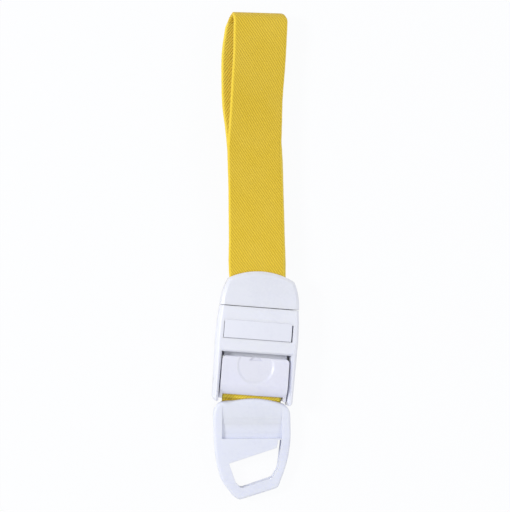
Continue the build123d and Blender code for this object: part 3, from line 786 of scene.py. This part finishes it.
    @staticmethod
    def smooth(stations: list[Station], step: float) -> list[Station]:
        """Run a smooth line through stations.

        Args:
            stations: the places it passes.
            step: distance between the places it returns.

        Returns:
            Evenly spaced stations with their run from the first.
        """
        count, knots = len(stations), [0.0]
        for first, second in zip(stations, stations[1:]):
            knots.append(knots[-1] + (second.middle - first.middle).length)

        def slopes(values: list[Vector]) -> list[Vector]:
            """Slopes that keep the line smooth at each station.

            Args:
                values: what changes from station to station.

            Returns:
                One slope for each station.
            """
            made = []
            for place in range(count):
                low, high = max(place - 1, 0), min(place + 1, count - 1)
                made.append((values[high] - values[low]) / (knots[high] - knots[low]))
            return made

        middles, acrosses = [s.middle for s in stations], [s.across for s in stations]
        middle_slopes, across_slopes = slopes(middles), slopes(acrosses)
        total = knots[-1]
        pieces = max(2, round(total / step))
        result, index = [], 0
        for number in range(pieces + 1):
            at = total * number / pieces
            while index < count - 2 and at > knots[index + 1]:
                index += 1
            span = knots[index + 1] - knots[index]
            share = min(1.0, (at - knots[index]) / span)
            square, cube = share * share, share ** 3
            start, leave = 2 * cube - 3 * square + 1, (cube - 2 * square + share) * span
            end, arrive = 3 * square - 2 * cube, (cube - square) * span

            def between(values: list[Vector], slope: list[Vector]) -> Vector:
                """Value at this share of the span."""
                first = values[index] * start + slope[index] * leave
                return first + values[index + 1] * end + slope[index + 1] * arrive

            middle, across = between(middles, middle_slopes), between(acrosses, across_slopes)
            result.append(Station(middle, across.normalized(), at))
        return result

    def section(self, width: float) -> Outline:
        """Outline of the webbing's cross-section, counter-clockwise from its right edge.

        Args:
            width: its width there.

        Returns:
            Points across and through it.
        """
        half, thick = width / 2, self.thickness / 2
        shares = [0.0, 0.05, 0.12, 0.22, 0.34, 0.47, 0.6, 0.73, 0.83, 0.9, 0.95, 1.0]
        top = []
        for share in [1 - s for s in shares] + [-s for s in shares[1:]]:
            place = share * half
            inward = min(1.0, (half - abs(place)) / self.edge_softness)
            top.append((place, thick * math.sqrt(max(0.0, 1 - (1 - inward) ** 2))))
        bottom = [(-place, -height) for place, height in top]
        return top[:-1] + bottom[:-1]

    def width_at(self, run: float) -> float:
        """Width of the webbing, drawn in round the fold and pressed wide under the lever.

        Args:
            run: how far along the strap.

        Returns:
            The width there.
        """
        share = min(1.0, max(0.0, (run - self.clamp_from) / self.clamp_ease))
        wide = (self.clamped_width - self.width) * share * share * (3 - 2 * share)
        beyond = min(1.0, abs(run - self.fold_run) / self.fold_reach)
        return self.width + wide - self.fold_draw * (1 - beyond * beyond) ** 2

    def weave(self, name: str, stations: list[Station], start_run: float) -> Object:
        """Make one length of webbing.

        Args:
            name: the piece's name.
            stations: evenly spaced places along it.
            start_run: run of the first place, so that the weave carries on from piece to piece.

        Returns:
            The piece, with a map of millimetres across and along.
        """
        shape = bmesh.new()
        layer = shape.loops.layers.uv.new("run")
        rings, spots = [], []
        last = len(stations) - 1

        def add_face(corners: list[tuple[int, int]], smooth: bool) -> None:
            """Add a face with its map.

            Args:
                corners: ring and place in the ring of each corner.
                smooth: whether it is shaded smoothly.
            """
            face = shape.faces.new([rings[ring][place] for ring, place in corners])
            face.smooth = smooth
            for loop, (ring, place) in zip(face.loops, corners):
                loop[layer].uv = spots[ring][place]

        for number, place in enumerate(stations):
            ahead = stations[min(number + 1, last)].middle - stations[max(number - 1, 0)].middle
            normal = place.across.cross(ahead).normalized()
            run = start_run + place.run
            wave = sum(size * math.sin(run * rate + start) for size, rate, start in self.edge_waves)
            outline = self.section(self.width_at(run))
            points = [place.middle + place.across * (x + wave) + normal * z for x, z in outline]
            rings.append([shape.verts.new(point) for point in points])
            spots.append([(x / MM, run / MM) for x, z in outline])
        around = range(len(rings[0]))
        for number in range(last):
            for corner in around:
                after, ahead = (corner + 1) % len(around), number + 1
                add_face([(number, corner), (number, after), (ahead, after), (ahead, corner)], True)
        add_face([(0, corner) for corner in reversed(around)], False)
        add_face([(last, corner) for corner in around], False)
        return add_mesh(name, shape)

    def finish_piece(
        self, piece: Object, material: Material, nodes: Sequence[str], length: float
    ) -> None:
        """Give a length of webbing its cloth in a slot and hide the solids it stands for.

        Args:
            piece: the webbing.
            material: its cloth.
            nodes: the solids it stands for.
            length: how long it was cut.
        """
        piece.data.materials.append(material)
        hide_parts(*nodes)
        LOG.info("webbing %s: %.0f mm", piece.name, length / MM)

    def build(self, wardrobe: Wardrobe) -> None:
        """Weave the whole strap, piece by piece.

        Args:
            wardrobe: where its material comes from.
        """
        finishes = (Finish.WEBBING, Finish.SHADED_WEBBING, Finish.CLEAN_WEBBING)
        cloth, shaded, feed_cloth_painted_light = [wardrobe.material(finish) for finish in finishes]
        fold, under = self.fold_stations(), self.under_stations()
        front = self.smooth(self.hem_stations() + self.upper_stations() + fold + under[:1], self.step)
        piece = self.weave("webbing_loop", front, 0.0)
        nodes = ["strap_hem", "strap_upper", "strap_fold"]
        self.finish_piece(piece, cloth, nodes, front[-1].run)
        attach(piece, "head")
        run = front[-1].run

        # begun a little earlier, so that it carries on in the fold's direction, and cut at the fold's end
        back = self.smooth(fold[-3:] + under, self.step)
        start = min(range(len(back)), key=lambda number: (back[number].middle - under[0].middle).length)
        back = [Station(place.middle, place.across, place.run - back[start].run) for place in back[start:]]
        # its cloth is painted lighter, painted light in the upper strand's shade
        piece = self.weave("webbing_return", back, run)
        self.finish_piece(piece, shaded, ["strap_under"], back[-1].run)
        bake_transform(piece)
        run += back[-1].run

        feed = self.smooth(self.feed_stations(), self.feed_step)
        self.clamp_from = run + feed[-1].run - self.clamp_run
        # its cloth is painted lighter, painted light in the shade of the lever and tab
        piece = self.weave("webbing_feed", feed, run)
        self.finish_piece(piece, feed_cloth_painted_light, ["strap_feed", "strap_free"], feed[-1].run)
        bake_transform(piece)
        run += feed[-1].run

        tab_end = self.tab_stations()
        piece = self.weave("webbing_tab_end", tab_end, run)
        self.finish_piece(piece, cloth, ["strap_tab_end"], tab_end[-1].run)
        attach(piece, "tab")


# ---- moulded pieces


@dataclass(frozen=True)
class Push:
    """A smooth shift of a moulding's surface round one place, in millimetres."""

    centre: Triple
    reach: Triple
    shift: Triple

    def at(self, point: Vector) -> Vector:
        """The shift that a point gets, both in metres; it falls to nothing at the reach."""
        away = sum(((p / MM - c) / r) ** 2 for p, c, r in zip(point, self.centre, self.reach))
        return Vector(self.shift) * (MM * max(0.0, 1.0 - away) ** 2)


def refit(
    node: str, name: str, body: str | None, pushes: Sequence[Push], material: Material
) -> Object:
    """Make a piece from its solid, with its surface pushed to its final shape.

    Args:
        node: the solid it starts from.
        name: the piece's name.
        body: what it moves with, or None where the caller says.
        pushes: the shifts, which add up.
        material: what it is made of.

    Returns:
        The piece.
    """
    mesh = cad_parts[node].data.copy()
    mesh.name = name
    for vertex in mesh.vertices:
        vertex.co += sum((push.at(vertex.co) for push in pushes), Vector())
    mesh.materials.clear()
    mesh.materials.append(material)
    piece = add_object(name, mesh)
    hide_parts(node)
    if body is not None:
        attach(piece, body)
    LOG.info("refitted %s from %s", name, node)
    return piece


@dataclass
class Buckle:
    """Buckle body, base plate, press flap, lever, pin and spring."""

    top: float = 13.4 * MM
    flap_left: float = -15.05 * MM
    flap_right: float = 14.72 * MM
    flap_edge: float = -0.96 * MM
    flap_root: float = 6.2 * MM
    flap_reach: float = 0.8 * MM
    flap_thickness: float = 1.1 * MM
    flap_skin: float = 0.012 * MM
    edge_round: float = 0.25 * MM
    edge_steps: int = 4
    # the ledge that closes the slot above the lever: its place in the solid, in millimetres
    ledge_side: float = 13.25
    ledge_run: Triple = (-8.4, -8.0, -6.9)
    ledge_rise: Triple = (10.8, 11.0, 11.5)
    # and where it goes
    ledge_half: float = 14.0 * MM
    ledge_front: float = -10.2 * MM
    ledge_top: float = 8.25 * MM
    ledge_thickness: float = 0.5 * MM
    rail_pushes: tuple[Push, ...] = (
        Push((-18.0, -30.0, 7.0), (2.5, 22.0, 30.0), (0.5, 0.35, 0.0)),
        Push((18.0, -30.0, 7.0), (2.5, 22.0, 30.0), (-0.6, 0.0, 0.0)),
        Push((-15.3, -22.0, 13.4), (1.3, 26.0, 1.6), (-0.3, 0.0, -1.2)),
        Push((15.6, -21.0, 13.0), (1.3, 24.0, 2.4), (0.5, 0.0, -2.8)),
    )
    lever_pushes: tuple[Push, ...] = (
        Push((0.0, -25.4, 9.0), (60.0, 3.6, 12.0), (0.0, -0.5, 0.0)),
        Push((0.0, -8.8, 12.0), (60.0, 2.2, 6.0), (0.0, 0.12, 0.0)),
        Push((-15.0, -17.0, 10.0), (1.2, 30.0, 30.0), (-0.12, 0.0, 0.0)),
    )

    def sink_ledge(self, mesh: Mesh) -> None:
        """Sink the ledge that closes the slot above the lever, and draw it out under the lever's edge.

        Args:
            mesh: the buckle's shell, which it is moulded with.
        """
        front, middle, back = self.ledge_run
        foot, waist, top = self.ledge_rise
        for vertex in mesh.vertices:
            across, along, height = vertex.co / MM
            if abs(abs(across) - self.ledge_side) < 0.1 and front < along < back and foot < height < top:
                vertex.co.x = math.copysign(self.ledge_half, across)
                vertex.co.y = self.ledge_front if along < middle else vertex.co.y
                vertex.co.z = self.ledge_top - (self.ledge_thickness if height < waist else 0.0)

    def edge_turn(self) -> Outline:
        """How far in and how far down each point of the flap's soft edge is, from the side to the top."""
        turns = [math.radians(90 * number / self.edge_steps) for number in range(self.edge_steps + 1)]
        return [(self.edge_round * (1 - math.cos(t)), self.edge_round * (1 - math.sin(t))) for t in turns]

    def flap_section(self) -> Outline:
        """Outline of the flap from its side, as Y and Z, with its root drawn out thinly over the collar.

        Returns:
            Points from the free edge's foot, over the top and back underneath.
        """
        crown, sunk = self.top + self.flap_skin, self.top - 2 * self.flap_skin
        under, tip = self.top - self.flap_thickness, self.flap_root + self.flap_reach
        points = [(self.flap_edge, under)]
        points += [(self.flap_edge + inward, crown - down) for inward, down in self.edge_turn()]
        points += [(share * self.flap_root, crown) for share in (0.3, 0.6, 0.85, 0.97, 1.0, 1.05)]
        points += [(tip, crown), (tip, sunk), (self.flap_root, sunk), (self.flap_root - 0.05 * MM, under)]
        return points

    def flap(self, wardrobe: Wardrobe) -> None:
        """Mould the press flap, which runs into the collar without a line.

        Args:
            wardrobe: where its material comes from.
        """
        outline = self.flap_section()
        shape = bmesh.new()
        turn = [(inward, self.top + self.flap_skin - down) for inward, down in self.edge_turn()]
        sides = [(self.flap_left + inward, limit) for inward, limit in turn]
        sides += [(self.flap_right - inward, limit) for inward, limit in reversed(turn)]
        rings = []
        for place, limit in sides:
            # the last three points are the underside, which stays three skins below the top
            limits = [limit] * (len(outline) - 3) + [limit - 3 * self.flap_skin] * 3
            rings.append([shape.verts.new((place, y, min(z, most))) for (y, z), most in zip(outline, limits)])
        for first, second in zip(rings, rings[1:]):
            for corner in range(len(outline)):
                following = (corner + 1) % len(outline)
                face = shape.faces.new([first[corner], second[corner], second[following], first[following]])
                face.smooth = corner in range(1, len(outline) - 4)
        shape.faces.new(rings[0])
        shape.faces.new(list(reversed(rings[-1])))
        piece = add_mesh("press_flap", shape)
        piece.data.materials.append(wardrobe.material(Finish.FLAP))
        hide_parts("release_flap")
        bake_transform(piece)
        LOG.info("moulded %s", piece.name)

    def build(self, wardrobe: Wardrobe) -> None:
        """Dress the buckle's pieces.

        Args:
            wardrobe: where the materials come from.
        """
        wardrobe.dress_nodes(["base_plate"], Finish.BUCKLE)
        white, lever = wardrobe.material(Finish.BUCKLE), wardrobe.material(Finish.LEVER)
        refit("buckle_body", "buckle_shell", "buckle", self.rail_pushes, white)
        refit("clamp_lever", "thumb_lever", "lever", self.lever_pushes, lever)
        self.sink_ledge(bpy.data.objects["buckle_shell"].data)
        self.flap(wardrobe)
        wardrobe.dress_nodes(["lever_pin", "anchor_bar"], Finish.PIN)
        steel = wardrobe.material(Finish.SPRING)
        spring = refit("lever_spring", "torsion_spring", None, (), steel)
        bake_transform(spring)


@dataclass
class PlugHead:
    """Plug-in head: tray, latch arm and cap."""

    def build(self, wardrobe: Wardrobe) -> None:
        """Dress the head's pieces."""
        wardrobe.dress_nodes(["plug_tray", "latch_arm", "plug_cap"], Finish.HEAD)


@dataclass
class PullTab:
    """Pull tab and the plate that clamps the webbing in it."""

    shell_pushes: tuple[Push, ...] = (
        Push((0.5, -27.6, 4.6), (16.5, 6.0, 60.0), (0.0, 0.65, 0.0)),
        Push((0.0, -50.0, 4.0), (5000.0, 22.0, 5000.0), (0.0, 0.75, 0.0)),
        Push((-17.0, -29.0, 4.6), (11.0, 7.0, 60.0), (0.0, 1.5, 0.0)),
        Push((-17.5, -48.0, 3.0), (6.0, 20.0, 60.0), (0.55, 0.0, 0.0)),
        Push((-7.0, -74.0, 2.0), (10.0, 11.0, 60.0), (2.2, 0.7, 0.0)),
        Push((3.0, -72.0, 2.0), (22.0, 30.0, 60.0), (0.0, 0.45, 0.0)),
        Push((17.5, -48.0, 3.0), (5.0, 20.0, 60.0), (0.35, 0.0, 0.0)),
        Push((15.0, -71.0, 2.0), (7.0, 8.0, 60.0), (0.8, 1.3, 0.0)),
    )

    def build(self, wardrobe: Wardrobe) -> None:
        """Dress the tab's pieces."""
        refit("pull_tab", "tab_shell", "tab", self.shell_pushes, wardrobe.material(Finish.TAB))
        wardrobe.dress_nodes(["tab_clamp"], Finish.TAB)


# ---- studio


@dataclass
class Studio:
    """Camera, lamps, floor and world."""

    aim: Vector = field(default_factory=lambda: Vector((-3.8, 35.6, 11.0)) * MM)
    distance: float = 0.65
    view_height: float = 225.3 * MM
    from_left: float = 6.0
    from_front: float = 3.0
    roll: float = 4.3
    lamp_colour: Triple = (0.97, 0.98, 1.0)
    lamp_rows: tuple[tuple[str, Triple, float, float], ...] = (
        ("key_lamp", (-0.69, 0.09, 0.62), 0.20, 4.1),
        ("fill_lamp", (0.66, 0.01, 0.60), 0.3, 1.4),
    )
    world_level: float = 0.60
    world_colour: Colour = (1.0, 1.0, 0.985, 1.0)
    floor_reach: float = 3.0
    floor_level: float = -0.2 * MM
    floor_white: float = 0.95
    floor_matt: Colour = (0.92, 0.92, 0.92, 1.0)
    floor_glow: Colour = (0.985, 0.99, 1.0, 1.0)

    def build(self) -> None:
        """Set up everything round the object."""
        self.camera()
        self.lamps()
        self.floor()
        self.world()
        bpy.context.scene.view_settings.view_transform = "Standard"

    def camera(self) -> None:
        """Put the camera above the object, a little to its left and front."""
        data = bpy.data.cameras.new("camera")
        data.sensor_width = 36.0
        data.lens = 36.0 * self.distance / self.view_height
        data.clip_start, data.clip_end = 0.01, 5.0
        camera = add_object("camera", data)
        left, front = math.radians(self.from_left), math.radians(self.from_front)
        back = Vector((-math.tan(left), -math.tan(front), 1.0)).normalized()
        turn = math.radians(self.roll)
        upward = Vector((-math.sin(turn), math.cos(turn), 0.0))
        upward = (upward - back * upward.dot(back)).normalized()
        right = upward.cross(back)
        heading = Matrix((right, upward, back)).transposed().to_4x4()
        camera.matrix_world = Matrix.Translation(self.aim + back * self.distance) @ heading
        bpy.context.scene.camera = camera

    def lamps(self) -> None:
        """Hang soft lamps round the object."""
        for name, place, size, power in self.lamp_rows:
            data = bpy.data.lights.new(name, "AREA")
            data.shape = "SQUARE"
            data.size = size
            data.energy = power
            data.color = self.lamp_colour
            lamp = add_object(name, data)
            lamp.location = place
            lamp.rotation_mode = "QUATERNION"
            lamp.rotation_quaternion = (Vector(place) - self.aim).to_track_quat("Z", "Y")

    def floor(self) -> None:
        """Lay a pale floor that keeps the object's shadow."""
        mesh = bpy.data.meshes.new("floor")
        reach, level = self.floor_reach, self.floor_level
        corners = [(x * reach, y * reach, level) for x, y in ((-1, -1), (1, -1), (1, 1), (-1, 1))]
        mesh.from_pydata(corners, [], [(0, 1, 2, 3)])
        floor = add_object("floor", mesh)
        material = bpy.data.materials.new("pale_floor")
        material.use_nodes = True
        material.node_tree.nodes.clear()
        make = GroupMaker(material.node_tree)
        matt, glow = make.node("BsdfDiffuse"), make.node("Emission")
        make.fill(matt, {"Color": self.floor_matt})
        make.fill(glow, {"Color": self.floor_glow})
        seen = make.node("LightPath")
        share = make.math("MULTIPLY", seen.outputs["Is Camera Ray"], self.floor_white)
        mix = make.node("MixShader")
        for target, source in zip(mix.inputs, (share, matt.outputs[0], glow.outputs[0])):
            make.link(source, target)
        make.link(mix.outputs[0], make.node("OutputMaterial").inputs[0])
        mesh.materials.append(material)

    def world(self) -> None:
        """Light the room softly; what looks past the floor sees white."""
        world = bpy.data.worlds.new("room")
        world.use_nodes = True
        bpy.context.scene.world = world
        make = GroupMaker(world.node_tree)
        background = world.node_tree.nodes["Background"]
        seen = make.node("LightPath")
        clear = make.math("MAXIMUM", seen.outputs["Is Camera Ray"], seen.outputs["Is Glossy Ray"])
        clear = make.math("MAXIMUM", clear, seen.outputs["Is Transmission Ray"])
        level = make.spread(clear, 0.0, 1.0, self.world_level, 1.0)
        make.fill(background, {"Strength": level, "Color": self.world_colour})


# ---- the whole


def main() -> None:
    """Build every piece in order."""
    logging.basicConfig(level=logging.INFO, format="%(name)s: %(message)s")
    wardrobe = Wardrobe()
    Studio().build()
    for part in (Buckle(), PlugHead(), PullTab(), Strap()):
        part.build(wardrobe)
        LOG.info("built %s", type(part).__name__)


if __name__ == "__main__":
    main()
